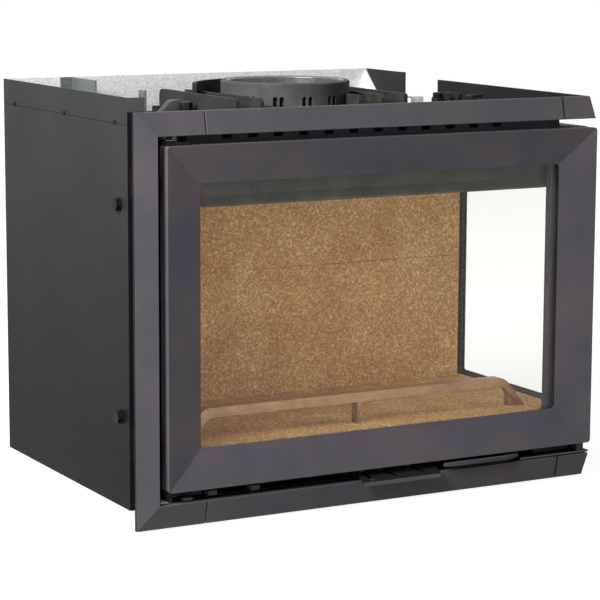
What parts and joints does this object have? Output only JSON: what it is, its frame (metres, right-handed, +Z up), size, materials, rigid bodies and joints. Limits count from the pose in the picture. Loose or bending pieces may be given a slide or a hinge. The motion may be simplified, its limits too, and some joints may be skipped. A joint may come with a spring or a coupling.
{
  "type": "fireplace insert",
  "caption": "Corner fireplace insert with a hinged front door, glazed right side, cast trim, ribbed top with flue collar and a sheet casing.",
  "frame": {"origin": "middle of the floor area under the insert, at the underside of the base rails", "axes": "+Z up, front door faces -Y, glazed side faces +X"},
  "size_m": [0.712, 0.467, 0.57],
  "materials": {
    "cast_trim": "fine sand-cast iron with matt dark grey stove paint",
    "cast_body": "raw-painted casting, matt olive grey",
    "painted_sheet": "smooth dark grey stove paint on sheet steel",
    "galvanised_sheet": "hot-dip galvanised sheet with soft mottling",
    "plain_steel": "bare folded steel",
    "black_bolt": "blackened hexagon bolts",
    "bright_steel": "bright turned steel",
    "heat_tinted_steel": "straw-coloured heat-tinted flat bar",
    "vermiculite": "pressed vermiculite board",
    "glass_rope": "woven glass-fibre rope",
    "heat_glass": "clear ceramic glass"
  },
  "bodies": {
    "insert": {"trim_left_frame": "cast_trim", "trim_top_bar": "cast_trim", "trim_bottom_bar": "cast_trim", "trim_side_frame": "cast_trim", "trim_bracket_top_left": "plain_steel", "trim_bracket_bottom_left": "plain_steel", "trim_bracket_top_right": "plain_steel", "trim_bracket_bottom_right": "plain_steel", "trim_bracket_left_upper": "plain_steel", "trim_bracket_rear_upper": "plain_steel", "trim_bracket_left_lower": "plain_steel", "trim_bracket_rear_lower": "plain_steel", "casing_left_panel": "painted_sheet", "casing_back_panel": "galvanised_sheet", "casing_rear_right_panel": "painted_sheet", "casing_base": "galvanised_sheet", "side_closing_panel": "painted_sheet", "base_rail_left": "galvanised_sheet", "base_rail_right": "galvanised_sheet", "casing_bolt_upper": "black_bolt", "casing_bolt_lower": "black_bolt", "casing_front_clip": "galvanised_sheet", "rear_spacer_bracket": "galvanised_sheet", "body_base": "cast_body", "front_plate": "cast_body", "body_left_wall": "cast_body", "body_rear_wall": "cast_body", "body_top": "cast_body", "flue_collar": "cast_body", "side_frame": "cast_trim", "side_glass": "heat_glass", "side_glass_gasket": "glass_rope", "firebox_floor": "vermiculite", "back_lining_lower": "vermiculite", "back_lining_upper": "vermiculite", "left_lining": "vermiculite", "baffle_plate": "vermiculite", "airwash_deflector": "cast_body", "log_retainer": "heat_tinted_steel", "upper_hinge_bracket": "cast_body", "upper_hinge_pin": "bright_steel", "lower_hinge_bracket": "cast_body", "hinge_washer": "bright_steel", "lower_hinge_pin": "bright_steel", "latch_keeper": "plain_steel", "front_sill": "cast_trim", "door_rest_block_1": "cast_trim", "door_rest_block_2": "cast_trim", "air_slide_guide": "plain_steel", "deck_clamp_left": "galvanised_sheet", "deck_clamp_right": "cast_body"},
    "door": {"door_frame": "cast_trim", "door_glass": "heat_glass", "door_glass_gasket": "glass_rope", "door_seal_rope": "glass_rope", "door_glass_strip_upper": "plain_steel", "door_glass_strip_lower": "plain_steel"},
    "handle": {"door_handle": "painted_sheet", "handle_pin": "bright_steel"},
    "air_control": {"air_slide": "painted_sheet"}
  },
  "joints": [
    {"name": "door_hinge", "type": "hinge", "parent": "insert", "child": "door", "pos_m": [-0.2984, -0.2125, 0.27], "axis": [0, 0, -1], "range_deg": [0, 110]},
    {"name": "handle_turn", "type": "hinge", "parent": "door", "child": "handle", "pos_m": [0.2293, -0.2145, 0.043], "axis": [0, 0, 1], "range_deg": [0, 30], "stiffness_Nm_per_rad": 0.5},
    {"name": "air_slide_travel", "type": "slide", "parent": "insert", "child": "air_control", "axis": [-1, 0, 0], "range_m": [0, 0.045]}
  ]
}
